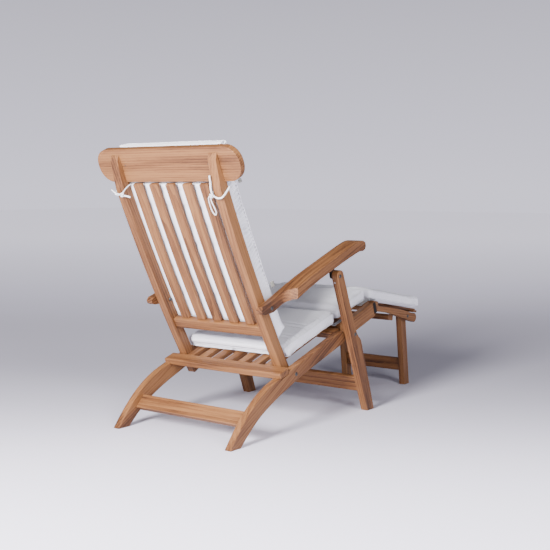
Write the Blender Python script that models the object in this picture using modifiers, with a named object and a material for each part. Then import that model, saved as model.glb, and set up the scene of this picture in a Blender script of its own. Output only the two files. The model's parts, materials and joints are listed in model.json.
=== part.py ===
"""Folding deck chair: a slatted teak frame with a fold-down back, a hinged leg rest and loose cushions.

Metres, +Z up. The sitter faces -Y and the sitter's right side is -X. Side profiles are given as
pairs (ahead, height): the distance ahead of the back edge of the rear feet, and the height above
the ground. The origin lies on the ground, in the middle of the chair's length and width.
"""
import math

import bmesh
import bpy
from mathutils import Euler, Matrix, Vector

# ---- driving dimensions -------------------------------------------------------------------
REAR_FOOT_Y = 0.7076          # back edge of the rear feet
GAP = 0.0003                  # clearance between touching pieces
FABRIC_GAP = 0.003            # clearance between a cushion and the wood under it

RAIL_OUT = 0.280              # outer face of the seat side rails, from the middle
RAIL_IN = 0.252               # inner face of the seat side rails
POST_OUT = 0.315              # outer face of the front legs
POST_IN = 0.2863              # inner face of the front legs
ARM_OUT = 0.318               # outer edge of the arms
ARM_IN = 0.2485               # inner edge of the arms
ARM_TAIL = 0.0275             # thickness of the arm's tail beside the back
STILE_OUT = 0.245             # outer face of the back's stiles
STILE_IN = 0.210              # inner face of the back's stiles

SEAT_REAR = (0.275, 0.223)    # where the seat's top surface starts
SEAT_PITCH = math.radians(17.4)
SEAT_SLATS = 7
SLAT_WIDE = 0.034
SLAT_PITCH = 0.063
SLAT_THICK = 0.018
SEAT_BREAK = 0.702            # joint between the rear and the front part of the seat
RAIL_DROP = 0.016             # the side rail's top lies this far below the seat surface
RAIL_DEEP = 0.050
CROSS_THICK = 0.025
CROSS_LONG = 0.055
MIDDLE_RAIL_END = 0.696       # front edge of the middle cross rail
MIDDLE_RAIL_THICK = 0.024

KNEE = (0.932, 0.4275)        # axis of the leg rest's hinges
LEG_REST_PITCH = math.atan(-0.175)
LEG_REST_LONG = 0.513
LEG_REST_OUT = 0.190
LEG_REST_IN = 0.168
LEG_REST_PIVOT = (1.347, 0.314)

BACK_PIVOT = (0.376, 0.208)
BACK_FOOT = (0.400, 0.160)    # lower end of the back's centre line
BACK_HEAD = (-0.014, 0.950)   # upper end of the back's centre line
BACK_BOW = 0.016              # how far the centre line bows backwards
STILE_DEEP = 0.040
BACK_SLATS = 5
BACK_SLAT_PITCH = 0.0778
HEADBOARD_HALF = 0.328
HEAD_LOW = 0.899
HEAD_LAP = 0.009              # how far the headboard is let into the stiles
HEAD_TALL = 0.124
HEAD_THICK = 0.024

ARM_PIVOT = (0.235, 0.462)
POST_PIVOT = (0.719, 0.317)
POST_TOP_PIN = (0.609, 0.550)
ARM_RISE = 0.3358             # slope of the arm's underside above the front leg

BOLT_RADIUS = 0.004
LEAF = 0.0018                 # thickness of the knee hinges' plates
KNUCKLE = 0.0045              # radius of the hinges' barrels
KNUCKLE_WIDE = 0.0105

CUSHION_HALF = 0.247
SEAT_CUSHION = 0.052
BACK_CUSHION = 0.062

# Each cushion tie is two soft tapes, the outer one and the inner one, as world points.
TIE_RADII = (0.0032, 0.0021)
TIE_KNOT_RADIUS = 0.0080
TIE_CORDS = {
    "right": (
        [(-0.2500, 0.6726, 0.8839), (-0.2504, 0.6840, 0.8728), (-0.2502, 0.6968, 0.8598),
         (-0.2476, 0.7064, 0.8509), (-0.2350, 0.7086, 0.8472), (-0.2230, 0.7100, 0.8503),
         (-0.2130, 0.7137, 0.8585), (-0.2095, 0.7199, 0.8770), (-0.2120, 0.7251, 0.8997),
         (-0.2140, 0.7320, 0.9216)],
        [(-0.2062, 0.6745, 0.8905), (-0.2055, 0.6869, 0.8815), (-0.2048, 0.7010, 0.8690),
         (-0.2030, 0.7123, 0.8554), (-0.2055, 0.7120, 0.8378), (-0.2075, 0.6999, 0.8173),
         (-0.2050, 0.6869, 0.7999), (-0.1960, 0.6813, 0.7914), (-0.1880, 0.6879, 0.8045),
         (-0.1890, 0.7019, 0.8278), (-0.1960, 0.7157, 0.8460), (-0.2070, 0.7231, 0.8549)],
    ),
    "left": (
        [(0.2500, 0.6773, 0.8942), (0.2504, 0.6887, 0.8831), (0.2502, 0.7014, 0.8701),
         (0.2476, 0.7111, 0.8612), (0.2350, 0.7133, 0.8575), (0.2230, 0.7133, 0.8575),
         (0.2100, 0.7132, 0.8562), (0.1980, 0.7101, 0.8528), (0.1885, 0.7078, 0.8514),
         (0.1800, 0.7046, 0.8480)],
        [(0.2062, 0.6764, 0.8947), (0.2055, 0.6897, 0.8877), (0.2048, 0.7047, 0.8773),
         (0.2040, 0.7170, 0.8657), (0.2130, 0.7218, 0.8594), (0.2230, 0.7223, 0.8604),
         (0.2350, 0.7223, 0.8630), (0.2450, 0.7210, 0.8674), (0.2550, 0.7180, 0.8716),
         (0.2640, 0.7136, 0.8752)],
    ),
}
TIE_KNOTS = {"right": (-0.2090, 0.7164, 0.8559),
             "left": (0.2085, 0.7168, 0.8569)}

COLLECTION = "folding_deck_chair"


# ---- scene and materials ------------------------------------------------------------------
def start_scene():
    for old in list(bpy.data.objects):
        bpy.data.objects.remove(old, do_unlink=True)
    parts = bpy.data.collections.new(COLLECTION)
    bpy.context.scene.collection.children.link(parts)
    return parts


def material(name, colour, roughness, metallic):
    made = bpy.data.materials.new(name)
    made.use_nodes = True
    shader = made.node_tree.nodes["Principled BSDF"]
    shader.inputs["Base Color"].default_value = (*colour, 1.0)
    shader.inputs["Roughness"].default_value = roughness
    shader.inputs["Metallic"].default_value = metallic
    return made


PARTS = start_scene()
TEAK = material("teak", (0.42, 0.22, 0.11), 0.6, 0.0)
STEEL = material("stainless_steel", (0.60, 0.60, 0.58), 0.35, 1.0)
BLACK_STEEL = material("black_steel", (0.03, 0.03, 0.03), 0.5, 0.8)
CANVAS = material("white_canvas", (0.83, 0.82, 0.84), 0.85, 0.0)
CORD = material("white_cord", (0.85, 0.84, 0.84), 0.8, 0.0)


# ---- places -------------------------------------------------------------------------------
def place(x, point):
    """World position of a profile point at the width x."""
    return Vector((x, REAR_FOOT_Y - point[0], point[1]))


def seat_line(ahead):
    """Height of the seat's top surface."""
    return SEAT_REAR[1] + math.tan(SEAT_PITCH) * (ahead - SEAT_REAR[0])


def leg_rest_line(ahead):
    """Height of the leg rest's top surface."""
    return 0.4245 + math.tan(LEG_REST_PITCH) * (ahead - 0.940)


def under(line, pitch, ahead, depth):
    """Point at a depth square below a sloping surface."""
    return (ahead + math.sin(pitch) * depth, line(ahead) - math.cos(pitch) * depth)


def back_line(height, forward=0.0):
    """Point of the bowed back at a height, moved forward square to its chord."""
    foot, head = Vector(BACK_FOOT), Vector(BACK_HEAD)
    chord = head - foot
    front = Vector((chord.y, -chord.x)).normalized()
    share = (height - foot.y) / chord.y
    bow = -BACK_BOW * 4.0 * share * (1.0 - share)
    point = foot + chord * share + front * (bow + forward)
    return (point.x, point.y)


def arc(centre, radius, start, end, steps):
    """Points on a circle of the profile plane, angles in degrees from straight ahead."""
    angles = [math.radians(start + (end - start) * i / steps) for i in range(steps + 1)]
    return [(centre[0] + radius * math.cos(a), centre[1] + radius * math.sin(a)) for a in angles]


def through(points, steps=3):
    """A smooth line through a few points of a profile or of space."""
    line = []
    last = len(points) - 1
    for i in range(last):
        before, start = Vector(points[max(i - 1, 0)]), Vector(points[i])
        end, after = Vector(points[i + 1]), Vector(points[min(i + 2, last)])
        for step in range(steps):
            t = step / steps
            line.append(tuple(0.5 * (2.0 * start + (end - before) * t
                                     + (2.0 * before - 5.0 * start + 4.0 * end - after) * t ** 2
                                     + (3.0 * start - before - 3.0 * end + after) * t ** 3)))
    line.append(tuple(points[last]))
    return line


# ---- building blocks ----------------------------------------------------------------------
def add_object(name, data, finish):
    made = bpy.data.objects.new(name, data)
    data.materials.append(finish)
    PARTS.objects.link(made)
    return made


def soften_edges(made, width, segments=2):
    bevel = made.modifiers.new("rounded_edges", "BEVEL")
    bevel.width = width
    bevel.segments = segments
    bevel.limit_method = "ANGLE"
    bevel.angle_limit = math.radians(35)
    bevel.harden_normals = False


def board(name, size, centre, pitch=0.0, finish=TEAK, edge=0.0025, segments=2):
    """A straight board: size is (width, length, thickness), pitch is its rise towards the front."""
    shape = bmesh.new()
    bmesh.ops.create_cube(shape, size=1.0, matrix=Matrix.Diagonal((*size, 1.0)))
    mesh = bpy.data.meshes.new(name)
    shape.to_mesh(mesh)
    shape.free()
    made = add_object(name, mesh, finish)
    made.location = centre
    made.rotation_euler = Euler((-pitch, 0.0, 0.0))
    if edge:
        soften_edges(made, edge, segments)
    return made


def plank(name, outline, x_low, x_high, edge=0.003, finish=TEAK, segments=2):
    """A board cut to a side profile: the outline in the profile plane, thick across the width."""
    curve = bpy.data.curves.new(name, "CURVE")
    curve.dimensions = "2D"
    curve.fill_mode = "BOTH"
    curve.extrude = (x_high - x_low) / 2.0
    spline = curve.splines.new("POLY")
    spline.points.add(len(outline) - 1)
    for point, (ahead, height) in zip(spline.points, outline):
        point.co = (ahead, height, 0.0, 1.0)
    spline.use_cyclic_u = True
    drawn = add_object(name + "_outline", curve, finish)
    drawn.location = place((x_low + x_high) / 2.0, (0.0, 0.0))
    drawn.rotation_euler = Euler((math.pi / 2.0, 0.0, -math.pi / 2.0))
    made = to_mesh_object(drawn, name)
    if edge:
        soften_edges(made, edge, segments)
    return made


def to_mesh_object(drawn, name):
    """Turn a curve, or an object with modifiers, into one plain welded mesh object."""
    bpy.context.view_layer.update()
    evaluated = drawn.evaluated_get(bpy.context.evaluated_depsgraph_get())
    mesh = bpy.data.meshes.new_from_object(evaluated)
    shape = bmesh.new()
    shape.from_mesh(mesh)
    bmesh.ops.remove_doubles(shape, verts=shape.verts, dist=0.00002)
    shape.to_mesh(mesh)
    shape.free()
    made = bpy.data.objects.new(name, mesh)
    PARTS.objects.link(made)
    made.matrix_world = drawn.matrix_world
    bpy.data.objects.remove(drawn, do_unlink=True)
    made.name = name
    return made


def round_look(made, angle=40):
    made.data.shade_smooth()
    made.data.set_sharp_from_angle(angle=math.radians(angle))


def cylinder(name, centre, radius, length, finish, sides=16):
    """A straight bar across the chair's width."""
    shape = bmesh.new()
    bmesh.ops.create_cone(shape, cap_ends=True, segments=sides, radius1=radius, radius2=radius,
                          depth=length, matrix=Matrix.Rotation(math.pi / 2.0, 4, "Y"))
    mesh = bpy.data.meshes.new(name)
    shape.to_mesh(mesh)
    shape.free()
    made = add_object(name, mesh, finish)
    made.location = centre
    return made


def cut(made, cutter):
    """Take the cutter's shape out of an object and drop the cutter."""
    combine(made, cutter, "DIFFERENCE")


def join(made, extra):
    """Fuse two overlapping objects into one body."""
    combine(made, extra, "UNION")


def combine(made, other, operation):
    step = made.modifiers.new(operation.lower(), "BOOLEAN")
    step.operation = operation
    step.solver = "EXACT"
    step.object = other
    bpy.context.view_layer.update()
    evaluated = made.evaluated_get(bpy.context.evaluated_depsgraph_get())
    mesh = bpy.data.meshes.new_from_object(evaluated)
    made.modifiers.clear()
    made.data = mesh
    bpy.data.objects.remove(other, do_unlink=True)


def drill(made, x, point):
    """A clear hole for a bolt across the width."""
    length = 0.2
    cut(made, cylinder("drill", place(x, point), BOLT_RADIUS + 0.0006, length, STEEL))


def bolt(name, x_head, x_nut, point):
    """A coach bolt across the width: a low round head at one end and a dome nut at the other."""
    out = 1.0 if x_head > x_nut else -1.0
    grip = abs(x_head - x_nut)
    head, nut = 0.0075, 0.0065
    profile = [(0.0, 0.0030), (head * 0.7, 0.0026), (head, 0.0010), (head, GAP),
               (BOLT_RADIUS, GAP), (BOLT_RADIUS, -grip - GAP), (nut, -grip - GAP),
               (nut, -grip - 0.0045), (nut * 0.5, -grip - 0.0065), (0.0, -grip - 0.0070)]
    mesh = bpy.data.meshes.new(name)
    edges = [(i, i + 1) for i in range(len(profile) - 1)]
    mesh.from_pydata([(radius, 0.0, along) for radius, along in profile], edges, [])
    made = add_object(name, mesh, STEEL)
    made.location = place(x_head, point)
    made.rotation_euler = Euler((0.0, out * math.pi / 2.0, 0.0))
    turn = made.modifiers.new("turn", "SCREW")
    turn.steps = 14
    turn.render_steps = 14
    turn.use_merge_vertices = True
    turn.merge_threshold = 0.0001
    turn.use_smooth_shade = True
    return made


def gather(pieces, axis_name, point):
    """Hang the pieces of a moving group on an empty that sits on its joint's axis."""
    pivot = bpy.data.objects.new(axis_name, None)
    pivot.location = place(0.0, point)
    PARTS.objects.link(pivot)
    bpy.context.view_layer.update()
    for piece in pieces:
        piece.parent = pivot
        piece.matrix_parent_inverse = pivot.matrix_world.inverted()


SIDES = (("right", -1.0), ("left", 1.0))


def across(side, inner, outer):
    """The two widths of a piece on one side, lower one first."""
    return sorted((side * inner, side * outer))


# ---- seat frame ---------------------------------------------------------------------------
def rail_outline():
    """Rear leg and side rail, sawn from one bent plank, notched for the rear cross rail."""
    notch_start = SEAT_REAR[0] - GAP
    notch_end = SEAT_REAR[0] + CROSS_LONG * math.cos(SEAT_PITCH) + GAP
    notch = [under(seat_line, SEAT_PITCH, ahead, depth) for ahead, depth in (
        (notch_start, RAIL_DROP), (notch_start, CROSS_THICK + GAP),
        (notch_end, CROSS_THICK + GAP), (notch_end, RAIL_DROP))]
    radius = RAIL_DEEP / 2.0
    end = under(seat_line, SEAT_PITCH, 0.664, RAIL_DROP + radius)
    tilt = math.degrees(SEAT_PITCH)
    top = through([(0.0, 0.0), (0.047, 0.056), (0.100, 0.109), (0.158, 0.153), (0.216, 0.184)])
    bottom = through([under(seat_line, SEAT_PITCH, 0.385, RAIL_DROP + RAIL_DEEP), (0.335, 0.166),
                      (0.275, 0.142), (0.216, 0.115), (0.158, 0.083), (0.102, 0.041), (0.056, 0.0)])
    return top + notch + arc(end, radius, 90.0 + tilt, -90.0 + tilt, 8) + bottom


def seat_board(name, start, end, width, thick, drop, x=0.0, finish=TEAK, edge=0.0025):
    """A board in the seat's slope between two distances ahead, with its top `drop` below it."""
    centre = under(seat_line, SEAT_PITCH, (start + end) / 2.0, drop + thick / 2.0)
    length = (end - start) / math.cos(SEAT_PITCH)
    return board(name, (width, length, thick), place(x, centre), SEAT_PITCH, finish, edge)


def slat_places(count, pitch):
    return [pitch * (i - (count - 1) / 2.0) for i in range(count)]


def make_seat():
    for label, side in SIDES:
        rail = plank("rear_leg_rail_" + label, rail_outline(), *across(side, RAIL_IN, RAIL_OUT))
        drill(rail, side * RAIL_OUT, BACK_PIVOT)
        soften_edges(rail, 0.003)
        front = front_rail(label, side)
        drill(front, side * RAIL_OUT, POST_PIVOT)
        soften_edges(front, 0.003)
    cross_end = SEAT_REAR[0] + CROSS_LONG * math.cos(SEAT_PITCH)
    seat_board("rear_cross_rail", SEAT_REAR[0], cross_end, 2.0 * RAIL_OUT, CROSS_THICK, 0.0, edge=0.004)
    seat_board("middle_cross_rail", 0.648, MIDDLE_RAIL_END, 2.0 * (RAIL_IN - GAP), MIDDLE_RAIL_THICK,
               SLAT_THICK + GAP)
    for number, x in enumerate(slat_places(SEAT_SLATS, SLAT_PITCH), 1):
        seat_board("seat_slat_%d" % number, cross_end + GAP, SEAT_BREAK - 0.002, SLAT_WIDE,
                   SLAT_THICK, 0.0, x)
    stretcher_pitch = math.radians(45.0)
    board("rear_stretcher", (2.0 * (RAIL_IN - GAP), 0.058, 0.020), place(0.0, (0.117, 0.082)),
          stretcher_pitch, edge=0.003)
    make_front_panel()


def front_rail(label, side):
    """Side rail of the seat's front part, which carries the front leg's bolt."""
    start, end, deep = SEAT_BREAK + 0.001, 0.920, 0.0608
    outline = [(start, seat_line(start)), (end - 0.018, seat_line(end - 0.018)),
               (end, seat_line(end) - 0.012), (end + 0.006, seat_line(end) - deep + 0.006),
               (end - 0.002, seat_line(end) - deep), (start + 0.018, seat_line(start + 0.018) - deep),
               (start, seat_line(start) - deep + 0.012)]
    return plank("front_rail_" + label, outline, *across(side, RAIL_IN, RAIL_OUT))


def make_front_panel():
    """Front seat grating, slats housed between two cross boards, and the cleat that carries it."""
    width = 2.0 * (RAIL_IN - GAP)
    board_thick = 0.024
    panel = seat_board("front_seat_grating", SEAT_BREAK + 0.003, 0.740, width, board_thick, 0.0,
                       edge=0.0)
    join(panel, seat_board("front_edge", 0.876, 0.914, width, board_thick, 0.0, edge=0.0))
    for x in slat_places(SEAT_SLATS, SLAT_PITCH):
        join(panel, seat_board("slat", 0.735, 0.881, SLAT_WIDE, 0.016, 0.001, x, edge=0.0))
    bolt_room = 0.012
    seat_board("seat_joint_cleat", MIDDLE_RAIL_END + 0.001, 0.738, width - 2.0 * bolt_room,
               MIDDLE_RAIL_THICK - 0.007, board_thick + GAP)


# ---- front legs ---------------------------------------------------------------------------
def front_leg_outline():
    """Front leg, wider below the bolt, with a full-round top."""
    top = (0.613, 0.552)
    radius = 0.0205
    lean = math.degrees(math.atan2(0.564, -0.226)) - 90.0
    front = through([(0.672, 0.460), (0.718, 0.347), (0.738, 0.312), (0.760, 0.290),
                     (0.776, 0.246), (0.800, 0.180), (0.862, 0.0)], 4)
    return arc(top, radius, 180.0 + lean, lean, 8) + front + [(0.811, 0.0)]


def make_front_legs():
    legs = []
    for label, side in SIDES:
        leg = plank("front_leg_" + label, front_leg_outline(), *across(side, POST_IN, POST_OUT))
        drill(leg, side * POST_OUT, POST_PIVOT)
        drill(leg, side * POST_OUT, POST_TOP_PIN)
        soften_edges(leg, 0.003)
        legs.append(leg)
        legs.append(bolt("front_leg_bolt_" + label, side * POST_OUT, side * RAIL_IN, POST_PIVOT))
        legs.append(bolt("arm_catch_pin_" + label, side * POST_OUT, side * POST_IN, POST_TOP_PIN))
    lean = math.atan2(0.564, 0.226)
    legs.append(board("front_stretcher", (2.0 * (POST_IN - GAP), 0.064, 0.020),
                      place(0.0, (0.785, 0.112)), math.pi - lean, edge=0.003))
    return legs


# ---- back ---------------------------------------------------------------------------------
def strip_outline(low, high, front, rear, steps):
    """A strip that follows the bowed back between two heights."""
    heights = [low + (high - low) * i / steps for i in range(steps + 1)]
    return ([back_line(h, rear) for h in heights]
            + [back_line(h, front) for h in reversed(heights)])


def stile_outline():
    """Back stile: square lower end, upper end bevelled off behind the headboard."""
    half = STILE_DEEP / 2.0
    heights = [0.170 + (0.886 - 0.170) * i / 8 for i in range(9)]
    lap = HEAD_LAP + GAP
    return ([back_line(h, -half) for h in heights]
            + [back_line(0.975, -0.004), back_line(0.990, half - lap - 0.002)]
            + [back_line(0.990, half - lap), back_line(HEAD_LOW - 0.001, half - lap)]
            + [back_line(HEAD_LOW - 0.001, half)]
            + [back_line(h, half) for h in reversed(heights[:-1])])


def make_headboard():
    """Wide board with rounded ends, drawn flat and leant back with the stiles."""
    low = Vector(back_line(HEAD_LOW, STILE_DEEP / 2.0 - HEAD_LAP))
    high = Vector(back_line(0.990, STILE_DEEP / 2.0 - HEAD_LAP))
    lean = math.atan2(low.x - high.x, high.y - low.y)
    radius = HEAD_TALL * 0.46
    flat = HEAD_TALL / 2.0 - radius
    corners = []
    for x_sign, z_sign, start in ((1, 1, 0.0), (-1, 1, 90.0), (-1, -1, 180.0), (1, -1, 270.0)):
        centre = (x_sign * (HEADBOARD_HALF - radius), z_sign * flat)
        corners += arc(centre, radius, start, start + 90.0, 7)
    curve = bpy.data.curves.new("headboard", "CURVE")
    curve.dimensions = "2D"
    curve.fill_mode = "BOTH"
    curve.extrude = HEAD_THICK / 2.0
    spline = curve.splines.new("POLY")
    spline.points.add(len(corners) - 1)
    for point, (x, z) in zip(spline.points, corners):
        point.co = (x, z, 0.0, 1.0)
    spline.use_cyclic_u = True
    drawn = add_object("headboard_outline", curve, TEAK)
    up = Vector((0.0, math.sin(lean), math.cos(lean)))
    front = Vector((0.0, -math.cos(lean), math.sin(lean)))
    rear_low = place(0.0, low)
    drawn.location = rear_low + up * (HEAD_TALL / 2.0) + front * (HEAD_THICK / 2.0 + GAP)
    drawn.rotation_euler = Euler((math.pi / 2.0 - lean, 0.0, 0.0))
    made = to_mesh_object(drawn, "headboard")
    soften_edges(made, 0.004)
    return made


def make_back():
    pieces = []
    for label, side in SIDES:
        stile = plank("back_stile_" + label, stile_outline(), *across(side, STILE_IN, STILE_OUT))
        drill(stile, side * STILE_OUT, BACK_PIVOT)
        drill(stile, side * STILE_OUT, ARM_PIVOT)
        soften_edges(stile, 0.003)
        pieces.append(stile)
        pieces.append(bolt("back_pivot_bolt_" + label, side * RAIL_OUT, side * STILE_IN, BACK_PIVOT))
    pieces.append(make_headboard())
    rail = plank("back_lower_rail", strip_outline(0.361, 0.397, 0.0165, -0.0125, 1),
                 -STILE_IN + GAP, STILE_IN - GAP)
    pieces.append(rail)
    for number, x in enumerate(slat_places(BACK_SLATS, BACK_SLAT_PITCH), 1):
        outline = strip_outline(0.3976, HEAD_LOW - 0.004, 0.014, 0.0, 8)
        width = 0.0385
        pieces.append(plank("back_slat_%d" % number, outline, x - width / 2.0, x + width / 2.0, 0.002))
    return pieces


# ---- arms ---------------------------------------------------------------------------------
def arm_outline():
    top = through([(0.186, 0.470), (0.235, 0.486), (0.300, 0.514), (0.410, 0.561), (0.539, 0.608),
                   (0.676, 0.657), (0.735, 0.675), (0.765, 0.678)], 2)
    nose = [(0.781, 0.671), (0.786, 0.657), (0.780, 0.644), (0.766, 0.638)]
    bottom = through([(0.740, 0.637), (0.676, 0.618), (0.539, 0.572), (0.410, 0.524), (0.300, 0.474),
                      (0.245, 0.447), (0.196, 0.442)], 2)
    tail = [(0.182, 0.447), (0.178, 0.458)]
    return top + nose + bottom + tail


def arm_scoop(side):
    """Cutter that thins the arm's tail to a tongue, with a round shoulder, seen from above."""
    radius = 0.045
    shoulder = 0.330
    x_tail = ARM_IN + ARM_TAIL
    outline = [(0.120, x_tail), (shoulder - radius, x_tail)]
    outline += [(shoulder - radius + radius * math.sin(a), x_tail + radius * (1.0 - math.cos(a)))
                for a in (math.radians(15 * i) for i in range(1, 6))]
    outline += [(shoulder + 0.012, ARM_OUT + 0.02), (0.120, ARM_OUT + 0.02)]
    curve = bpy.data.curves.new("scoop", "CURVE")
    curve.dimensions = "2D"
    curve.fill_mode = "BOTH"
    curve.extrude = 0.15
    spline = curve.splines.new("POLY")
    spline.points.add(len(outline) - 1)
    for point, (ahead, x) in zip(spline.points, outline):
        point.co = (side * x, REAR_FOOT_Y - ahead, 0.0, 1.0)
    spline.use_cyclic_u = True
    drawn = add_object("scoop_outline", curve, TEAK)
    drawn.location = (0.0, 0.0, 0.5)
    return to_mesh_object(drawn, "scoop")


def make_arm(label, side):
    arm = plank("arm_" + label, arm_outline(), *across(side, ARM_IN, ARM_OUT), edge=0.0)
    cut(arm, arm_scoop(side))
    drill(arm, side * ARM_IN, ARM_PIVOT)
    soften_edges(arm, 0.004)
    pieces = [arm]
    pieces.append(bolt("arm_bolt_" + label, side * (ARM_IN + ARM_TAIL), side * STILE_IN, ARM_PIVOT))
    pieces.append(make_bracket(label, side))
    return pieces


def arm_under(ahead):
    """Height of a catch's flange, which lies flat against the arm's underside."""
    return 0.5945 + ARM_RISE * (ahead - 0.612)


def make_bracket(label, side):
    """Black steel catch under the arm: a flat flange and a hooked tongue beside the front leg."""
    x_face = POST_IN - 0.0088
    hook = arc((0.609, 0.550), 0.0115, 200.0, 340.0, 6)
    outline = [(0.632, arm_under(0.632)), (0.590, arm_under(0.590)), (0.596, 0.552)]
    outline += hook + [(0.624, 0.556)]
    tongue = plank("arm_catch_" + label, outline, *across(side, x_face - 0.003, x_face),
                   edge=0.0, finish=BLACK_STEEL)
    flange = board("flange", (0.022, 0.056, 0.003), place(side * (x_face + 0.006),
                   (0.612, arm_under(0.612))), math.atan(ARM_RISE), BLACK_STEEL, 0.0)
    join(tongue, flange)
    return tongue


# ---- leg rest -----------------------------------------------------------------------------
def leg_rest_rail_outline():
    top = through([(0.9985, leg_rest_line(0.9985) - 0.0110), (1.116, 0.3808), (1.210, 0.3660),
                   (1.280, 0.3520), (1.348, 0.3350), (1.398, 0.3205)], 2)
    end = arc((1.4065, 0.3015), 0.0205, 72.0, -95.0, 6)
    bottom = through([(1.366, 0.2910), (1.276, 0.3180), (1.192, 0.3430), (1.118, 0.3550),
                      (0.9985, 0.3720)], 2)
    return top + end + bottom


def leg_rest_board(name, start, end, width, thick, drop, x=0.0, edge=0.002):
    centre = under(leg_rest_line, LEG_REST_PITCH, (start + end) / 2.0, drop + thick / 2.0)
    length = (end - start) / math.cos(LEG_REST_PITCH)
    return board(name, (width, length, thick), place(x, centre), LEG_REST_PITCH, TEAK, edge)


def make_leg_rest():
    pieces = []
    for label, side in SIDES:
        rail = plank("leg_rest_rail_" + label, leg_rest_rail_outline(),
                     *across(side, LEG_REST_IN, LEG_REST_OUT))
        drill(rail, side * LEG_REST_OUT, LEG_REST_PIVOT)
        soften_edges(rail, 0.003)
        pieces.append(rail)
    knee_rail = leg_rest_board("leg_rest_knee_rail", 0.958, 0.998, 2.0 * 0.249, 0.040, 0.0)
    pieces.append(knee_rail)
    grating = leg_rest_board("leg_rest_grating", 1.402, 1.430, 2.0 * LEG_REST_OUT, 0.010, 0.007, edge=0.0)
    for x in slat_places(5, 0.0780):
        join(grating, leg_rest_board("slat", 0.9985, KNEE[0] + LEG_REST_LONG, SLAT_WIDE, 0.0100,
                                     0.0, x, edge=0.0))
    pieces.append(grating)
    pieces.append(board("leg_rest_cross_rail", (2.0 * (LEG_REST_IN - GAP), 0.040, 0.026),
                        place(0.0, (1.238, 0.318)), LEG_REST_PITCH, edge=0.003))
    return pieces


def make_leg_rest_legs():
    """Folding leg frame under the leg rest: two legs and a stretcher."""
    pieces = []
    inner, outer = LEG_REST_IN - 0.0008 - 0.0265, LEG_REST_IN - 0.0008
    for label, side in SIDES:
        radius = 0.0215
        outline = (arc(LEG_REST_PIVOT, radius, 172.0, -8.0, 8) + [(1.4075, 0.0), (1.3660, 0.0)])
        leg = plank("leg_rest_leg_" + label, outline, *across(side, inner, outer))
        drill(leg, side * outer, LEG_REST_PIVOT)
        soften_edges(leg, 0.003)
        pieces.append(leg)
        pieces.append(bolt("leg_rest_bolt_" + label, side * LEG_REST_OUT, side * inner, LEG_REST_PIVOT))
    pieces.append(board("leg_rest_stretcher", (2.0 * (inner - GAP), 0.056, 0.020),
                        place(0.0, (1.375, 0.090)), math.radians(90.0 + 8.0), edge=0.003))
    return pieces


# ---- knee hinges --------------------------------------------------------------------------
def hinge_leaf(name, plate, tab, knuckle_x):
    """One leaf of a butt hinge: its plate, a tab and the half of the knuckle that it carries."""
    join(plate, tab)
    join(plate, cylinder("knuckle", place(knuckle_x, KNEE), KNUCKLE, KNUCKLE_WIDE, STEEL, 12))
    plate.data.materials.clear()
    plate.data.materials.append(STEEL)
    plate.name = name
    return plate


def make_knee_hinges():
    """A butt hinge at each side of the knee: one leaf on the seat, one on the leg rest."""
    rest_leaves = []
    clear = KNUCKLE + 0.0008
    for label, side in SIDES:
        middle = side * 0.236
        outer, inner = middle + side * 0.0060, middle - side * 0.0060
        plate = seat_board("plate", 0.868, KNEE[0] - clear, 0.022, LEAF, -LEAF - GAP, middle, STEEL, 0.0)
        tab = seat_board("tab", 0.915, KNEE[0] - 0.001, KNUCKLE_WIDE - 0.001, LEAF - 0.0004,
                         -LEAF - GAP + 0.0002, outer, STEEL, 0.0)
        hinge_leaf("knee_hinge_seat_leaf_" + label, plate, tab, outer)
        plate = leg_rest_board("plate", KNEE[0] + clear, 0.992, 0.022, LEAF, -LEAF - GAP, middle, 0.0)
        tab = leg_rest_board("tab", KNEE[0] + 0.001, 0.950, KNUCKLE_WIDE - 0.001, LEAF - 0.0004,
                             -LEAF - GAP + 0.0002, inner, 0.0)
        rest_leaves.append(hinge_leaf("knee_hinge_rest_leaf_" + label, plate, tab, inner))
    return rest_leaves


# ---- cushions and ties --------------------------------------------------------------------
def pad(name, outline, half=CUSHION_HALF):
    """A cushion section as a plain softened block."""
    made = plank(name, outline, -half, half, edge=0.012, finish=CANVAS)
    round_look(made, 60)
    return made


def seat_pad_outline(start, end, line, thick, rear_slope=0.0):
    low = FABRIC_GAP
    return [(start, line(start) + low), (end, line(end) + low),
            (end, line(end) + low + thick), (start + rear_slope, line(start + rear_slope) + low + thick)]


def make_cushions():
    low = 0.318
    rear = STILE_DEEP / 2.0 + FABRIC_GAP
    front = rear + BACK_CUSHION
    heights = [low + (0.888 - low) * i / 5 for i in range(6)]
    behind = HEAD_THICK + STILE_DEEP / 2.0 - HEAD_LAP + FABRIC_GAP + 0.002
    outline = ([back_line(h, rear) for h in heights] + [back_line(0.892, behind), back_line(1.018, behind)]
               + [back_line(1.010, front + 0.006)] + [back_line(h, front) for h in reversed(heights[1:])]
               + [back_line(low + 0.020, front)])
    back = pad("back_cushion", outline)
    pad("seat_cushion_rear", seat_pad_outline(0.373, SEAT_BREAK - 0.002, seat_line, SEAT_CUSHION, -0.024))
    pad("seat_cushion_front", seat_pad_outline(SEAT_BREAK + 0.002, 0.918, seat_line, SEAT_CUSHION))
    rest = pad("leg_rest_cushion",
               seat_pad_outline(0.936, 1.372, leg_rest_line, SEAT_CUSHION - 0.006))
    return back, rest


def cord_tube(name, route, radius):
    """A round cord along a smooth route of world points, as a mesh."""
    curve = bpy.data.curves.new(name, "CURVE")
    curve.dimensions = "3D"
    curve.bevel_depth = radius
    curve.bevel_resolution = 2
    curve.use_fill_caps = True
    points = through(route, 2)
    spline = curve.splines.new("POLY")
    spline.points.add(len(points) - 1)
    for point, where in zip(spline.points, points):
        point.co = (*where, 1.0)
    return to_mesh_object(add_object(name + "_line", curve, CORD), name)


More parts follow.
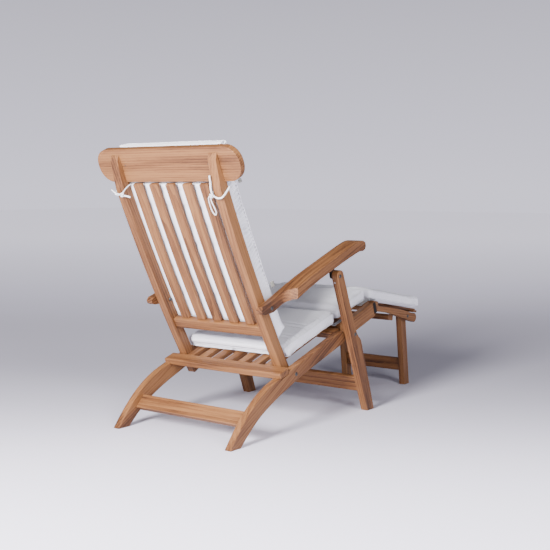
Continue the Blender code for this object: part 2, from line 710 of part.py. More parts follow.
def make_tie(label):
    """One cushion tie: two cords, one on each side of the stile, in one knot behind it."""
    outer, inner = TIE_CORDS[label]
    made = cord_tube("tie_" + label, outer, TIE_RADII[0])
    join(made, cord_tube("inner_cord", inner, TIE_RADII[1]))
    shape = bmesh.new()
    bmesh.ops.create_uvsphere(shape, u_segments=10, v_segments=6, radius=TIE_KNOT_RADIUS)
    mesh = bpy.data.meshes.new("knot")
    shape.to_mesh(mesh)
    shape.free()
    knot = add_object("knot", mesh, CORD)
    knot.location = TIE_KNOTS[label]
    join(made, knot)
    round_look(made, 60)
    return made


def build():
    make_seat()
    back_pieces = make_back()
    back_cushion, rest_cushion = make_cushions()
    ties = [make_tie(label) for label, side in SIDES]
    gather(back_pieces + [back_cushion] + ties, "back_axis", BACK_PIVOT)
    for label, side in SIDES:
        gather(make_arm(label, side), "arm_axis_" + label, ARM_PIVOT)
    gather(make_front_legs(), "front_legs_axis", POST_PIVOT)
    rest_leaves = make_knee_hinges()
    gather(make_leg_rest() + rest_leaves + [rest_cushion], "knee_axis", KNEE)
    gather(make_leg_rest_legs(), "leg_rest_legs_axis", LEG_REST_PIVOT)


build()
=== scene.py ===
import json
import math

import bmesh
import bpy
from mathutils import Matrix, Vector, noise
from mathutils.bvhtree import BVHTree


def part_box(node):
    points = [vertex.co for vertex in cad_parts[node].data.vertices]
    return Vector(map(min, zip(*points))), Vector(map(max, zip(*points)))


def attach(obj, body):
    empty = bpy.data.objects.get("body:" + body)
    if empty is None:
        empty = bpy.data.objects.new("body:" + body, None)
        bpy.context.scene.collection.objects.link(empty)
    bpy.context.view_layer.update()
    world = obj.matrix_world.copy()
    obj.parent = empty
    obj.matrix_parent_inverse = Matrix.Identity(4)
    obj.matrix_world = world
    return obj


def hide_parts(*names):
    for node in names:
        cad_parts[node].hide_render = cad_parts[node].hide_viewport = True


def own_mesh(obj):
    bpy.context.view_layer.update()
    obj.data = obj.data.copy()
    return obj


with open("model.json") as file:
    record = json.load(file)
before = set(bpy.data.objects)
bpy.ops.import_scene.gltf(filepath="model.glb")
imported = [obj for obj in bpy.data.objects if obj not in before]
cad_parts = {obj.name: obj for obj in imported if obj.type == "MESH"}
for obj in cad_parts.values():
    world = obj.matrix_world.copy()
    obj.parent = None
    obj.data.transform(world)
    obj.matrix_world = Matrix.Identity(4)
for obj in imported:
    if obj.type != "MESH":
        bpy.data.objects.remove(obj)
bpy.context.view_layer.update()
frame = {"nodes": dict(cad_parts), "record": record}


# ---- camera -------------------------------------------------------------------------------
# The chair is seen from behind the sitter's right shoulder, at about the height of the
# headboard's lower edge, with a short telephoto lens.
VIEW_HEADING, VIEW_TILT = 216.967, 85.034
camera_data = bpy.data.cameras.new("camera")
camera_data.lens = 65.9
camera_data.sensor_width = 36.0
camera = bpy.data.objects.new("camera", camera_data)
camera.matrix_world = (Matrix.Translation((-2.390, 3.2636, 0.883))
                       @ Matrix.Rotation(math.radians(VIEW_HEADING), 4, "Z")
                       @ Matrix.Rotation(math.radians(VIEW_TILT), 4, "X"))
bpy.context.scene.collection.objects.link(camera)
bpy.context.scene.camera = camera


# ---- cushion ties -------------------------------------------------------------------------
# Each side of the back cushion has two soft cotton tapes sewn into its edge. One passes outside
# the back's stile and one inside it, and they are knotted behind it just below the headboard.
def white_cotton(name, thread, colour, bump_depth):
    """Plain woven cotton: crossing threads of the given spacing, soft uneven patches, painted
    shade in creases.
    """
    made = bpy.data.materials.new(name)
    made.use_nodes = True
    nodes, links = made.node_tree.nodes, made.node_tree.links
    shader = nodes["Principled BSDF"]
    place = nodes.new("ShaderNodeTexCoord")
    heights = []
    for direction in ("X", "Y", "Z"):
        threads = nodes.new("ShaderNodeTexWave")
        threads.wave_type = "BANDS"
        threads.bands_direction = direction
        threads.inputs["Scale"].default_value = 0.314 / thread
        threads.inputs["Distortion"].default_value = 1.2
        threads.inputs["Detail"].default_value = 1.0
        threads.inputs["Detail Scale"].default_value = 3.0
        links.new(place.outputs["Object"], threads.inputs["Vector"])
        heights.append(threads.outputs["Fac"])
    weave = heights[0]
    for other in heights[1:]:
        both = nodes.new("ShaderNodeMath")
        both.operation = "ADD"
        links.new(weave, both.inputs[0])
        links.new(other, both.inputs[1])
        weave = both.outputs["Value"]
    patches = nodes.new("ShaderNodeTexNoise")
    patches.inputs["Scale"].default_value = 9.0
    patches.inputs["Detail"].default_value = 4.0
    links.new(place.outputs["Object"], patches.inputs["Vector"])
    tone = nodes.new("ShaderNodeMix")
    tone.data_type = "RGBA"
    tone.inputs["A"].default_value = (*[c * 0.93 for c in colour], 1.0)
    tone.inputs["B"].default_value = (*colour, 1.0)
    links.new(patches.outputs["Fac"], tone.inputs["Factor"])
    shade = nodes.new("ShaderNodeMapRange")
    shade.inputs["From Min"].default_value = 0.0
    shade.inputs["From Max"].default_value = 3.0
    shade.inputs["To Min"].default_value = 0.93
    shade.inputs["To Max"].default_value = 1.0
    links.new(weave, shade.inputs["Value"])
    dyed = nodes.new("ShaderNodeMix")
    dyed.data_type = "RGBA"
    dyed.blend_type = "MULTIPLY"
    dyed.inputs["Factor"].default_value = 1.0
    links.new(tone.outputs["Result"], dyed.inputs["A"])
    links.new(shade.outputs["Result"], dyed.inputs["B"])
    # Painted shade: the colour is darkened in creases and seams, where little light gets down into
    # them.
    crease_occlusion = nodes.new("ShaderNodeAmbientOcclusion")
    crease_occlusion.samples = 8
    crease_occlusion.inputs["Distance"].default_value = 0.014
    depth = nodes.new("ShaderNodeMapRange")
    depth.inputs["From Min"].default_value = 0.45
    depth.inputs["From Max"].default_value = 0.95
    depth.inputs["To Min"].default_value = 0.55
    depth.inputs["To Max"].default_value = 1.0
    links.new(crease_occlusion.outputs["AO"], depth.inputs["Value"])
    painted_crease_shade = nodes.new("ShaderNodeMix")
    painted_crease_shade.data_type = "RGBA"
    painted_crease_shade.blend_type = "MULTIPLY"
    painted_crease_shade.inputs["Factor"].default_value = 1.0
    links.new(dyed.outputs["Result"], painted_crease_shade.inputs["A"])
    links.new(depth.outputs["Result"], painted_crease_shade.inputs["B"])
    links.new(painted_crease_shade.outputs["Result"], shader.inputs["Base Color"])
    rough = nodes.new("ShaderNodeMapRange")
    rough.inputs["To Min"].default_value = 0.82
    rough.inputs["To Max"].default_value = 0.95
    links.new(patches.outputs["Fac"], rough.inputs["Value"])
    links.new(rough.outputs["Result"], shader.inputs["Roughness"])
    relief = nodes.new("ShaderNodeBump")
    relief.inputs["Strength"].default_value = 0.5
    relief.inputs["Distance"].default_value = bump_depth
    links.new(weave, relief.inputs["Height"])
    links.new(relief.outputs["Normal"], shader.inputs["Normal"])
    shader.inputs["Specular IOR Level"].default_value = 0.2
    shader.inputs["Sheen Weight"].default_value = 0.25
    shader.inputs["Sheen Roughness"].default_value = 0.5
    return made


def smooth_line(points, steps):
    """A smooth curve through a few points."""
    line = []
    last = len(points) - 1
    for i in range(last):
        before, start = Vector(points[max(i - 1, 0)]), Vector(points[i])
        end, after = Vector(points[i + 1]), Vector(points[min(i + 2, last)])
        for step in range(steps):
            t = step / steps
            line.append(0.5 * (2.0 * start + (end - before) * t
                               + (2.0 * before - 5.0 * start + 4.0 * end - after) * t ** 2
                               + (3.0 * start - before - 3.0 * end + after) * t ** 3))
    line.append(Vector(points[last]))
    return line


def round_cord(name, line, radius, finish, closed=False):
    """A round cord along a line, as a curve object."""
    curve = bpy.data.curves.new(name, "CURVE")
    curve.dimensions = "3D"
    curve.bevel_depth = radius
    curve.bevel_resolution = 4
    curve.use_fill_caps = True
    spline = curve.splines.new("POLY")
    spline.points.add(len(line) - 1)
    for point, where in zip(spline.points, line):
        point.co = (*where, 1.0)
    spline.use_cyclic_u = closed
    curve.materials.append(finish)
    made = bpy.data.objects.new(name, curve)
    bpy.context.scene.collection.objects.link(made)
    return made


TAPE = white_cotton("tie_tape", 0.0009, (0.86, 0.86, 0.88), 0.0003)
OUTER_TAPE, INNER_TAPE = 0.0032, 0.0021
KNOT_REACH, KNOT_TAPE = 0.0060, 0.0026
TIE_ROUTES = {
    "right": (
        [(-0.2500, 0.6726, 0.8839), (-0.2504, 0.6840, 0.8728), (-0.2502, 0.6968, 0.8598),
         (-0.2476, 0.7064, 0.8509), (-0.2350, 0.7086, 0.8472), (-0.2230, 0.7100, 0.8503),
         (-0.2130, 0.7137, 0.8585), (-0.2095, 0.7199, 0.8770), (-0.2120, 0.7251, 0.8997),
         (-0.2140, 0.7320, 0.9216)],
        [(-0.2062, 0.6745, 0.8905), (-0.2055, 0.6869, 0.8815), (-0.2048, 0.7010, 0.8690),
         (-0.2030, 0.7123, 0.8554), (-0.2055, 0.7120, 0.8378), (-0.2075, 0.6999, 0.8173),
         (-0.2050, 0.6869, 0.7999), (-0.1960, 0.6813, 0.7914), (-0.1880, 0.6879, 0.8045),
         (-0.1890, 0.7019, 0.8278), (-0.1960, 0.7157, 0.8460), (-0.2070, 0.7231, 0.8549)]),
    "left": (
        [(0.2500, 0.6773, 0.8942), (0.2504, 0.6887, 0.8831), (0.2502, 0.7014, 0.8701),
         (0.2476, 0.7111, 0.8612), (0.2350, 0.7133, 0.8575), (0.2230, 0.7133, 0.8575),
         (0.2100, 0.7132, 0.8562), (0.1980, 0.7101, 0.8528), (0.1885, 0.7078, 0.8514),
         (0.1800, 0.7046, 0.8480)],
        [(0.2062, 0.6764, 0.8947), (0.2055, 0.6897, 0.8877), (0.2048, 0.7047, 0.8773),
         (0.2040, 0.7170, 0.8657), (0.2130, 0.7218, 0.8594), (0.2230, 0.7223, 0.8604),
         (0.2350, 0.7223, 0.8630), (0.2450, 0.7210, 0.8674), (0.2550, 0.7180, 0.8716),
         (0.2640, 0.7136, 0.8752)]),
}
TIE_KNOTS = {"right": (-0.2090, 0.7164, 0.8559), "left": (0.2085, 0.7168, 0.8569)}


def knot(name, centre, reach, radius):
    """A tight overhand knot: a small three-lobed turn of tape."""
    line = []
    turns = 60
    for i in range(turns):
        a = 2.0 * math.pi * i / turns
        x = (math.sin(a) + 2.0 * math.sin(2.0 * a)) / 3.0
        z = (math.cos(a) - 2.0 * math.cos(2.0 * a)) / 3.0
        y = -math.sin(3.0 * a) / 2.2
        line.append(Vector(centre) + Vector((x, y, z)) * reach)
    return round_cord(name, line, radius, TAPE, closed=True)


for side, routes in TIE_ROUTES.items():
    knotted = knot("tie_knot_" + side, TIE_KNOTS[side], KNOT_REACH, KNOT_TAPE)
    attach(knotted, "back")
    for run, route, radius in zip(("outer", "inner"), routes, (OUTER_TAPE, INNER_TAPE)):
        line = smooth_line(route, 4)
        tape = round_cord("tie_%s_%s" % (side, run), line, radius, TAPE)
        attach(tape, "back")
        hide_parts("tie_" + side)


# ---- seat frame ---------------------------------------------------------------------------
# The rear legs and the seat's side rails are sawn in one piece from wide teak planks. Cross
# rails join them, and seven slats run lengthwise between the cross rails. The front part of the
# seat is a grating of slats on its own two rails.
def teak(name, along, seed, darker=0.0):
    """Oiled teak: growth rings cut lengthwise, fine open pores and a few darker streaks."""
    made = bpy.data.materials.new(name)
    made.use_nodes = True
    nodes, links = made.node_tree.nodes, made.node_tree.links
    shader = nodes["Principled BSDF"]
    along = Vector(along).normalized()
    aside = along.orthogonal().normalized() if abs(along.x) > 0.9 else Vector((1.0, 0.0, 0.0))
    across = along.cross(aside).normalized()
    place = nodes.new("ShaderNodeTexCoord")
    grain = nodes.new("ShaderNodeCombineXYZ")
    shift = (0.7 * math.sin(seed * 12.9898), 0.045 * math.sin(seed * 78.233),
             0.040 + 0.030 * math.sin(seed * 37.719))
    for socket, axis, offset in zip("XYZ", (along, aside, across), shift):
        part = nodes.new("ShaderNodeVectorMath")
        part.operation = "DOT_PRODUCT"
        part.inputs[1].default_value = axis
        links.new(place.outputs["Object"], part.inputs[0])
        moved = nodes.new("ShaderNodeMath")
        moved.operation = "ADD"
        moved.inputs[1].default_value = offset
        links.new(part.outputs["Value"], moved.inputs[0])
        links.new(moved.outputs["Value"], grain.inputs[socket])

    def stretched(amount, squeeze, detail, rough):
        """Cells drawn out along the grain."""
        scaled = nodes.new("ShaderNodeVectorMath")
        scaled.operation = "MULTIPLY"
        scaled.inputs[1].default_value = (amount, squeeze, squeeze)
        links.new(grain.outputs["Vector"], scaled.inputs[0])
        cells = nodes.new("ShaderNodeTexNoise")
        cells.inputs["Scale"].default_value = 1.0
        cells.inputs["Detail"].default_value = detail
        cells.inputs["Roughness"].default_value = rough
        links.new(scaled.outputs["Vector"], cells.inputs["Vector"])
        return cells.outputs["Fac"]

    flat = nodes.new("ShaderNodeVectorMath")
    flat.operation = "MULTIPLY"
    flat.inputs[1].default_value = (0.10, 1.0, 1.0)
    links.new(grain.outputs["Vector"], flat.inputs[0])
    rings = nodes.new("ShaderNodeTexWave")
    rings.wave_type = "RINGS"
    rings.rings_direction = "X"
    rings.wave_profile = "SAW"
    rings.inputs["Scale"].default_value = 34.0
    rings.inputs["Distortion"].default_value = 3.2
    rings.inputs["Detail"].default_value = 3.0
    rings.inputs["Detail Scale"].default_value = 1.1
    links.new(flat.outputs["Vector"], rings.inputs["Vector"])
    streaks = stretched(1.6, 26.0, 5.0, 0.6)
    pores = stretched(60.0, 1400.0, 2.0, 0.5)
    fibres = stretched(7.0, 260.0, 4.0, 0.65)

    def weighted(value, low, high, out_low, out_high):
        """A value brought from one range to another."""
        scaled = nodes.new("ShaderNodeMapRange")
        scaled.inputs["From Min"].default_value = low
        scaled.inputs["From Max"].default_value = high
        scaled.inputs["To Min"].default_value = out_low
        scaled.inputs["To Max"].default_value = out_high
        links.new(value, scaled.inputs["Value"])
        return scaled.outputs["Result"]

    def added(a, b):
        total = nodes.new("ShaderNodeMath")
        total.operation = "ADD"
        links.new(a, total.inputs[0])
        links.new(b, total.inputs[1])
        return total.outputs["Value"]

    board = 0.05 * math.sin(seed * 91.7) - 0.06 - darker
    tone = added(added(weighted(rings.outputs["Fac"], 0.0, 1.0, board, board + 0.30),
                       weighted(streaks, 0.32, 0.66, 0.0, 0.52)),
                 added(weighted(fibres, 0.30, 0.70, 0.0, 0.26),
                       weighted(pores, 0.35, 0.60, 0.0, 0.12)))
    ramp = nodes.new("ShaderNodeValToRGB")
    ramp.color_ramp.elements[0].position = 0.20
    ramp.color_ramp.elements[0].color = (0.040, 0.0125, 0.0036, 1.0)
    ramp.color_ramp.elements[1].position = 0.78
    ramp.color_ramp.elements[1].color = (0.228, 0.100, 0.036, 1.0)
    middle = ramp.color_ramp.elements.new(0.45)
    middle.color = (0.134, 0.051, 0.0170, 1.0)
    links.new(tone, ramp.inputs["Fac"])
    links.new(ramp.outputs["Color"], shader.inputs["Base Color"])
    links.new(weighted(fibres, 0.3, 0.7, 0.62, 0.48), shader.inputs["Roughness"])
    relief = nodes.new("ShaderNodeBump")
    relief.inputs["Strength"].default_value = 0.35
    relief.inputs["Distance"].default_value = 0.0004
    links.new(added(fibres, added(pores, rings.outputs["Fac"])), relief.inputs["Height"])
    links.new(relief.outputs["Normal"], shader.inputs["Normal"])
    shader.inputs["Specular IOR Level"].default_value = 0.35
    return made


body_of = {node: body for body, nodes in frame["record"]["behaviour"]["bodies"].items()
           for node in nodes}
WELD = 0.00002
SHARP = math.radians(50)


def dressed(node, finish, round_over=0.0):
    """One piece at its finished surface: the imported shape, welded, with soft machined edges."""
    shape = bmesh.new()
    shape.from_mesh(frame["nodes"][node].data)
    bmesh.ops.remove_doubles(shape, verts=shape.verts, dist=WELD)
    if round_over:
        bmesh.ops.dissolve_limit(shape, angle_limit=math.radians(1.0), verts=shape.verts,
                                 edges=shape.edges)
    mesh = bpy.data.meshes.new(node + "_finished")
    shape.to_mesh(mesh)
    shape.free()
    mesh.materials.append(finish)
    mesh.shade_smooth()
    mesh.set_sharp_from_angle(angle=SHARP)
    made = bpy.data.objects.new(node + "_finished", mesh)
    bpy.context.scene.collection.objects.link(made)
    if round_over:
        edge = made.modifiers.new("soft_edges", "BEVEL")
        edge.width = round_over
        edge.segments = 2
        edge.limit_method = "ANGLE"
        edge.angle_limit = SHARP
        mesh.set_sharp_from_angle(angle=math.pi)
    normals = made.modifiers.new("flat_faces", "WEIGHTED_NORMAL")
    normals.keep_sharp = True
    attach(made, body_of[node])
    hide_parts(node)
    return made


board_numbers = iter(range(1, 100))
GRATING_EDGE = 0.0015


def wooden(node, along, round_over=0.0, darker=0.0):
    """A teak piece whose grain runs along the given direction, each from a board of its own."""
    finish = teak("teak_" + node, along, next(board_numbers), darker)
    return dressed(node, finish, round_over)


SEAT_PITCH = math.radians(17.4)
SEAT_RUN = Vector((0.0, -math.cos(SEAT_PITCH), math.sin(SEAT_PITCH)))
SEAT_UP = Vector((0.0, math.sin(SEAT_PITCH), math.cos(SEAT_PITCH)))
SEAT_START = Vector((0.0, 0.4326, 0.223))
REAR_PLANK = (0.0, -0.86, 0.50)
ACROSS = Vector((1.0, 0.0, 0.0))
SIDES = ("right", "left")

for side in SIDES:
    wooden("rear_leg_rail_" + side, REAR_PLANK)
    wooden("front_rail_" + side, SEAT_RUN)
for node in ("rear_cross_rail", "middle_cross_rail", "seat_joint_cleat", "rear_stretcher"):
    wooden(node, ACROSS)
for number in range(1, 8):
    wooden("seat_slat_%d" % number, SEAT_RUN)
wooden("front_seat_grating", SEAT_RUN, GRATING_EDGE)


# ---- back ---------------------------------------------------------------------------------
# Two teak stiles carry five slats, a lower rail and a wide headboard with rounded ends, which is
# let into the front of the stiles. The whole back turns on two bolts near the stiles' feet.
BACK_FOOT = Vector((0.0, 0.3076, 0.160))
BACK_HEAD = Vector((0.0, 0.7216, 0.950))
BACK_RUN = (BACK_HEAD - BACK_FOOT).normalized()
BACK_FRONT = Vector((0.0, -BACK_RUN.z, BACK_RUN.y))
for side in SIDES:
    wooden("back_stile_" + side, BACK_RUN)
wooden("headboard", ACROSS)
wooden("back_lower_rail", ACROSS)
for number in range(1, 6):
    wooden("back_slat_%d" % number, BACK_RUN)


# ---- arms ---------------------------------------------------------------------------------
# Each arm is cut from one thick, slightly darker teak board. It is scooped out at the tail,
# where a bolt holds it to the stile, and a metal catch locks its front end to the front leg.
ARM_GRAIN = (0.0, -0.935, 0.354)
for side in SIDES:
    wooden("arm_" + side, ARM_GRAIN, darker=0.10)


# ---- front legs ---------------------------------------------------------------------------
# The front legs are two straight teak posts. Each turns on a bolt through the seat's side rail,
# and a low stretcher joins them.
POST_GRAIN = (0.0, 0.374, 0.927)
for side in SIDES:
    wooden("front_leg_" + side, POST_GRAIN)
wooden("front_stretcher", ACROSS)


# ---- leg rest -----------------------------------------------------------------------------
# A narrow teak frame with a grating of slats on two drooping rails. It hangs from the seat on
# the knee hinges and stands on two legs of its own, joined by a stretcher.
LEG_REST_RUN = Vector((0.0, -0.985, -0.1724))
REST_LEG_GRAIN = (0.0, -0.126, -0.992)
for side in SIDES:
    wooden("leg_rest_rail_" + side, LEG_REST_RUN)
    wooden("leg_rest_leg_" + side, REST_LEG_GRAIN)
wooden("leg_rest_grating", LEG_REST_RUN, GRATING_EDGE)
for node in ("leg_rest_knee_rail", "leg_rest_cross_rail", "leg_rest_stretcher"):
    wooden(node, ACROSS)


# ---- fittings -----------------------------------------------------------------------------
# Bolts, knee hinges, strap plates and most screws are stainless steel, the bolts tarnished. The
# catches under the arms and the shoes on the front rails' ends are steel with a satin black
# coating, and the hinges' screws are brass.
def metal(name, colour, roughness, grain_size):
    """Satin metal with fine brushing and faint handling marks."""
    made = bpy.data.materials.new(name)
    made.use_nodes = True
    nodes, links = made.node_tree.nodes, made.node_tree.links
    shader = nodes["Principled BSDF"]
    place = nodes.new("ShaderNodeTexCoord")
    drawn = nodes.new("ShaderNodeVectorMath")
    drawn.operation = "MULTIPLY"
    drawn.inputs[1].default_value = (grain_size, grain_size * 0.06, grain_size)
    links.new(place.outputs["Object"], drawn.inputs[0])
    marks = nodes.new("ShaderNodeTexNoise")
    marks.inputs["Scale"].default_value = 1.0
    marks.inputs["Detail"].default_value = 3.0
    links.new(drawn.outputs["Vector"], marks.inputs["Vector"])
    rough = nodes.new("ShaderNodeMapRange")
    rough.inputs["To Min"].default_value = roughness - 0.10
    rough.inputs["To Max"].default_value = roughness + 0.12
    links.new(marks.outputs["Fac"], rough.inputs["Value"])
    links.new(rough.outputs["Result"], shader.inputs["Roughness"])
    tone = nodes.new("ShaderNodeMix")
    tone.data_type = "RGBA"
    tone.inputs["A"].default_value = (*[c * 0.8 for c in colour], 1.0)
    tone.inputs["B"].default_value = (*colour, 1.0)
    links.new(marks.outputs["Fac"], tone.inputs["Factor"])
    links.new(tone.outputs["Result"], shader.inputs["Base Color"])
    relief = nodes.new("ShaderNodeBump")
    relief.inputs["Strength"].default_value = 0.2
    relief.inputs["Distance"].default_value = 0.0001
    links.new(marks.outputs["Fac"], relief.inputs["Height"])
    links.new(relief.outputs["Normal"], shader.inputs["Normal"])
    shader.inputs["Metallic"].default_value = 1.0
    return made


STEEL = metal("stainless_steel", (0.56, 0.56, 0.55), 0.36, 900.0)
DARK_STEEL = metal("tarnished_steel", (0.10, 0.10, 0.10), 0.42, 900.0)
BLACK = metal("black_coated_steel", (0.030, 0.030, 0.032), 0.50, 500.0)
BRASS = metal("brass_screws", (0.62, 0.44, 0.20), 0.34, 900.0)
for side in SIDES:
    for node in ("arm_bolt_", "arm_catch_pin_", "back_pivot_bolt_", "front_leg_bolt_",
                 "leg_rest_bolt_"):
        dressed(node + side, DARK_STEEL)
    dressed("knee_hinge_seat_leaf_" + side, STEEL)
    dressed("knee_hinge_rest_leaf_" + side, STEEL)
    dressed("arm_catch_" + side, BLACK)


def turned(name, profile, centre, axis, finish, body, steps=20):
    """A small turned piece: a profile of (radius, height) pairs spun round an axis."""
    shape = bmesh.new()
    verts = [shape.verts.new((radius, 0.0, height)) for radius, height in profile]
    edges = [shape.edges.new(pair) for pair in zip(verts, verts[1:])]
    bmesh.ops.spin(shape, geom=verts + edges, cent=(0, 0, 0), axis=(0, 0, 1), steps=steps,
                   angle=2.0 * math.pi, use_duplicate=False)
    bmesh.ops.remove_doubles(shape, verts=shape.verts, dist=0.00001)
    bmesh.ops.recalc_face_normals(shape, faces=shape.faces)
    mesh = bpy.data.meshes.new(name)
    shape.to_mesh(mesh)
    shape.free()
    mesh.materials.append(finish)
    mesh.shade_smooth()
    mesh.set_sharp_from_angle(angle=math.radians(40))
    made = bpy.data.objects.new(name, mesh)
    made.matrix_world = (Matrix.Translation(centre)
                         @ Vector(axis).to_track_quat("Z", "Y").to_matrix().to_4x4())
    bpy.context.scene.collection.objects.link(made)
    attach(made, body)
    return made


def screw(name, centre, axis, radius, finish, body):
    """A countersunk screw head with a driver recess."""
    profile = [(0.0, -0.0006), (radius * 0.30, -0.0006), (radius * 0.38, 0.0003),
               (radius * 0.85, 0.0002), (radius, -0.0001), (radius * 0.8, -0.0010), (0.0, -0.0010)]
    return turned(name, profile, centre, axis, finish, body)


def on_seat(ahead, height, x):
    """A point at a distance along the seat's slope, and square above it."""
    return SEAT_START + SEAT_RUN * ahead + SEAT_UP * height + Vector((x, 0.0, 0.0))


def strap(name, centre, run, up, size, finish, body):
    """A flat plate with softened edges, lying along run with its face towards up."""
    width, length, thick = size
    shape = bmesh.new()
    bmesh.ops.create_cube(shape, size=1.0, matrix=Matrix.Diagonal((width, length, thick, 1.0)))
    bmesh.ops.bevel(shape, geom=list(shape.edges), offset=0.0005, segments=2, affect="EDGES")
    mesh = bpy.data.meshes.new(name)
    shape.to_mesh(mesh)
    shape.free()
    mesh.materials.append(finish)
    mesh.shade_smooth()
    mesh.set_sharp_from_angle(angle=SHARP)
    made = bpy.data.objects.new(name, mesh)
    directions = Matrix((up.cross(run), run, up)).transposed().to_4x4()
    made.matrix_world = Matrix.Translation(centre) @ directions
    bpy.context.scene.collection.objects.link(made)
    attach(made, body)
    return made


# Straps lie across the joint between the rear and the front part of the seat, with two screws
# each. Black shoes cap the outer faces of the front rails at the knee.
STRAP_SIDE, STRAP_AHEAD, STRAP_SIZE = 0.2425, 0.4475, (0.017, 0.060, 0.0016)
STRAP_SCREWS, HINGE_SCREWS = (0.426, 0.469), (0.630, 0.655)
SHOE_SIDE, SHOE_AT, SHOE_SIZE = 0.2806, Vector((0.0, -0.2105, 0.3985)), (0.046, 0.020, 0.0014)
LEG_SCREW, LEG_SCREW_FACE = (0.2951, 0.1055, 0.5240), (0.0, 0.93, -0.37)
HEADBOARD_SCREW, HEADBOARD_FACE = (0.1940, 0.7137, 0.9607), (0.0, 0.92, -0.40)

for side, sign in zip(SIDES, (-1.0, 1.0)):
    x = sign * STRAP_SIDE
    strap("seat_strap_" + side, on_seat(STRAP_AHEAD, 0.0013, x), SEAT_RUN, SEAT_UP, STRAP_SIZE,
          STEEL, "seat_frame")
    for number, ahead in enumerate(STRAP_SCREWS, 1):
        screw("seat_strap_screw_%s_%d" % (side, number), on_seat(ahead, 0.0022, x), SEAT_UP,
              0.0034, DARK_STEEL, "seat_frame")
    strap("rail_end_shoe_" + side, SHOE_AT + ACROSS * sign * SHOE_SIDE, SEAT_RUN, ACROSS * sign,
          SHOE_SIZE, BLACK, "seat_frame")
    screw("front_leg_screw_" + side, (sign * LEG_SCREW[0], *LEG_SCREW[1:]), LEG_SCREW_FACE,
          0.0042, STEEL, "front_legs")
    screw("headboard_screw_" + side, (sign * HEADBOARD_SCREW[0], *HEADBOARD_SCREW[1:]),
          HEADBOARD_FACE, 0.0036, DARK_STEEL, "back")
    low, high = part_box("knee_hinge_seat_leaf_" + side)
    for number, ahead in enumerate(HINGE_SCREWS, 1):
        screw("knee_hinge_screw_%s_%d" % (side, number),
              on_seat(ahead, 0.0023, (low.x + high.x) / 2.0), SEAT_UP, 0.0032, BRASS, "seat_frame")


# ---- cushion ------------------------------------------------------------------------------
# Four foam slabs in one white cotton cover: the back, two for the seat and one for the leg rest.
# Each has a boxed edge between two welted seams, and the cover puckers where the seams gather it.
CANVAS = white_cotton("white_canvas", 0.0011, (0.89, 0.885, 0.95), 0.0003)
FABRIC_SHRINK = 0.0050
FACE_SIZE, QUICK_FACE_SIZE = 0.0055, 0.009
SWELL_LIMIT = 0.0085


class Slab:
    """A cushion section's own directions: run along it, up square out of it."""

    def __init__(self, node, body, origin, run, up, low, thick, start, end, bow=0.0):
        self.node, self.body = node, body
        self.origin, self.run, self.up = Vector(origin), Vector(run), Vector(up)
        self.low, self.thick = low, thick
        self.start, self.end, self.bow = start, end, bow

    def bend(self, along):
        """How far the bowed slab lies from its straight line."""
        share = along / (BACK_HEAD - BACK_FOOT).length
        return -self.bow * 4.0 * share * (1.0 - share)

    def local(self, point):
        """A point as its distance along the slab and out of it."""
        away = point - self.origin
        along = away.dot(self.run)
        return along, away.dot(self.up) - self.bend(along)


HALF_WIDTH = 0.247
SLABS = [
    Slab("back_cushion", "back", BACK_FOOT, BACK_RUN, BACK_FRONT,
         0.023, 0.062, 0.180, 0.955, 0.016),
    Slab("seat_cushion_rear", "seat_frame", SEAT_START, SEAT_RUN, SEAT_UP,
         0.003, 0.050, 0.103, 0.445),
    Slab("seat_cushion_front", "seat_frame", SEAT_START, SEAT_RUN, SEAT_UP,
         0.003, 0.050, 0.450, 0.672),
    Slab("leg_rest_cushion", "leg_rest", (0.0, -0.2324, 0.4245), LEG_REST_RUN,
         (0.0, -0.1724, 0.985), 0.003, 0.045, -0.004, 0.438),
]


def foam_block(slab):
    """The slab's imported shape, taken in a little and cut into small even faces."""
    shape = bmesh.new()
    shape.from_mesh(frame["nodes"][slab.node].data)
    bmesh.ops.remove_doubles(shape, verts=shape.verts, dist=WELD)
    bmesh.ops.recalc_face_normals(shape, faces=shape.faces)
    shape.normal_update()
    inward = [v.normal * FABRIC_SHRINK for v in shape.verts]
    for vert, step in zip(shape.verts, inward):
        vert.co -= step
    mesh = bpy.data.meshes.new(slab.node + "_cover")
    shape.to_mesh(mesh)
    shape.free()
    mesh.materials.append(CANVAS)
    made = bpy.data.objects.new(slab.node + "_cover", mesh)
    bpy.context.scene.collection.objects.link(made)
    even = made.modifiers.new("even_faces", "REMESH")
    even.mode = "VOXEL"
    even.voxel_size = FACE_SIZE
    return applied(made)


def applied(made):
    """The object with its modifiers made part of its mesh."""
    bpy.context.view_layer.update()
    evaluated = made.evaluated_get(bpy.context.evaluated_depsgraph_get())
    mesh = bpy.data.meshes.new_from_object(evaluated)
    made.modifiers.clear()
    made.data = mesh
    return made


def swell(covers, limit):
    """Fill the covers: light air pressure from inside for a second, held within a limit."""
    before = [[v.co.copy() for v in cover.data.vertices] for cover in covers]
    for cover in covers:
        cloth = cover.modifiers.new("cloth", "CLOTH")
        cloth.settings.quality = 4
        cloth.settings.mass = 0.3
        cloth.settings.tension_stiffness = 12.0
        cloth.settings.compression_stiffness = 12.0
        cloth.settings.bending_stiffness = 0.4
        cloth.settings.use_pressure = True
        cloth.settings.uniform_pressure_force = 4.0
        cloth.settings.effector_weights.gravity = 0.0
        cloth.collision_settings.use_collision = False
    for number in range(1, 21):
        bpy.context.scene.frame_set(number)
    meshes = []
    depsgraph = bpy.context.evaluated_depsgraph_get()
    for cover in covers:
        meshes.append(bpy.data.meshes.new_from_object(cover.evaluated_get(depsgraph)))
    for cover, mesh, places in zip(covers, meshes, before):
        cover.modifiers.clear()
        cover.data = mesh
        for vert, place in zip(mesh.vertices, places):
            step = vert.co - place
            if step.length > limit:
                vert.co = place + step * (limit / step.length)
    bpy.context.scene.frame_set(1)


covers = [foam_block(slab) for slab in SLABS]
swell(covers, SWELL_LIMIT)


